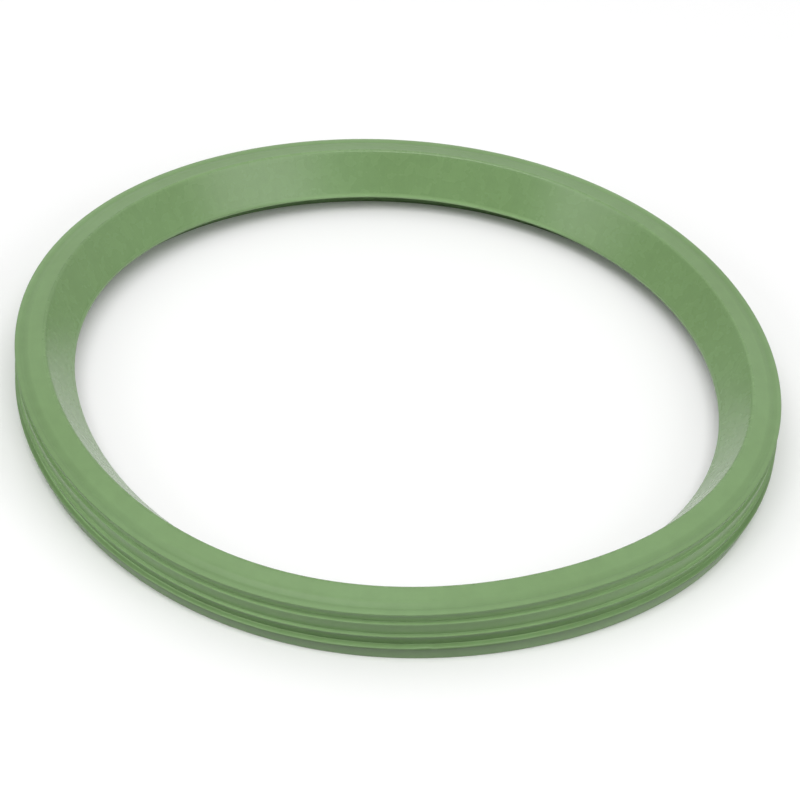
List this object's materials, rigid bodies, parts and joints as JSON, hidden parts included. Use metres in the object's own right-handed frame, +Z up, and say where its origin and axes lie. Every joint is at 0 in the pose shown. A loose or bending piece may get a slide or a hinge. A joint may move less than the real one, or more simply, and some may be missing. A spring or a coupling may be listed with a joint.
{
  "type": "pipe seal ring",
  "caption": "Moulded rubber lip seal ring for push-fit pipe joints: ribbed outer wall, flat foot, sloped top face and a lip that slopes in and down to the pipe.",
  "frame": {"origin": "on the ring's axis, at floor level under the flat foot", "axes": "+Z up along the ring's axis, from the flat foot to the crest; +X to the right and +Y away as the picture shows the ring"},
  "size_m": [0.128, 0.128, 0.0112],
  "materials": {
    "rubber": "satin moulded rubber, grey-green, with a pale sheen at a glancing angle"
  },
  "bodies": {
    "root": {"seal_ring": "rubber"}
  },
  "joints": []
}
